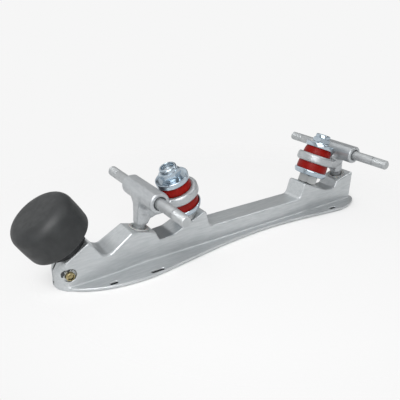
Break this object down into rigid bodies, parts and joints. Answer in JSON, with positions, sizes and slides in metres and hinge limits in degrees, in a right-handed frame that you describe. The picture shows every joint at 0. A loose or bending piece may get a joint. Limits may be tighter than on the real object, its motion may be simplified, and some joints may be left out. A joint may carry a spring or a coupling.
{
  "type": "roller skate plate",
  "caption": "Cast aluminium quad roller skate plate with two cushioned steering trucks, wheel axles and an adjustable rubber toe stop on a leaning stem.",
  "frame": {"origin": "on the sole face, midway between the two wheel axles", "axes": "+X points to the toe, +Z from the sole toward the wheels, +Y across the plate along the wheel axles"},
  "size_m": [0.3201, 0.112, 0.0731],
  "materials": {
    "plate_aluminium": "satin, cast and tumbled",
    "cast_aluminium": "satin, cast and tumbled",
    "zinc": "bright blue zinc plating",
    "steel": "ground and polished",
    "black_steel": "black oxide",
    "yellow_zinc": "yellow zinc plating",
    "urethane": "cast urethane, satin",
    "rubber": "moulded rubber, matt",
    "cup_nylon": "moulded nylon, natural"
  },
  "bodies": {
    "plate": {"base_plate": "plate_aluminium", "pinch_screw": "yellow_zinc", "toe_stop_lock_nut": "black_steel", "front_kingpin": "steel", "front_jam_nut": "zinc", "front_lower_retainer": "zinc", "front_lower_cushion": "urethane", "front_upper_cushion": "urethane", "front_upper_retainer": "zinc", "front_lock_nut": "zinc", "front_pivot_cup": "cup_nylon", "rear_kingpin": "steel", "rear_jam_nut": "zinc", "rear_lower_retainer": "zinc", "rear_lower_cushion": "urethane", "rear_upper_cushion": "urethane", "rear_upper_retainer": "zinc", "rear_lock_nut": "zinc", "rear_pivot_cup": "cup_nylon"},
    "front_truck": {"front_hanger": "cast_aluminium", "front_axle": "steel"},
    "rear_truck": {"rear_hanger": "cast_aluminium", "rear_axle": "steel"},
    "toe_stop": {"toe_stop_rubber": "rubber", "toe_stop_stem": "steel", "toe_stop_washer": "black_steel"}
  },
  "joints": [
    {"name": "front_steer", "type": "hinge", "parent": "plate", "child": "front_truck", "pos_m": [0.1087, 0, 0.02361], "axis": [-0.8063, 0, 0.5915], "range_deg": [-8, 8], "stiffness_Nm_per_rad": 8, "deforming": ["front_lower_cushion", "front_upper_cushion"]},
    {"name": "rear_steer", "type": "hinge", "parent": "plate", "child": "rear_truck", "pos_m": [-0.1087, 0, 0.02361], "axis": [0.8063, 0, 0.5915], "range_deg": [-8, 8], "stiffness_Nm_per_rad": 8, "deforming": ["rear_lower_cushion", "rear_upper_cushion"]},
    {"name": "toe_stop_height", "type": "slide", "parent": "plate", "child": "toe_stop", "axis": [0.527, 0, 0.8499], "range_m": [0, 0.012]}
  ]
}
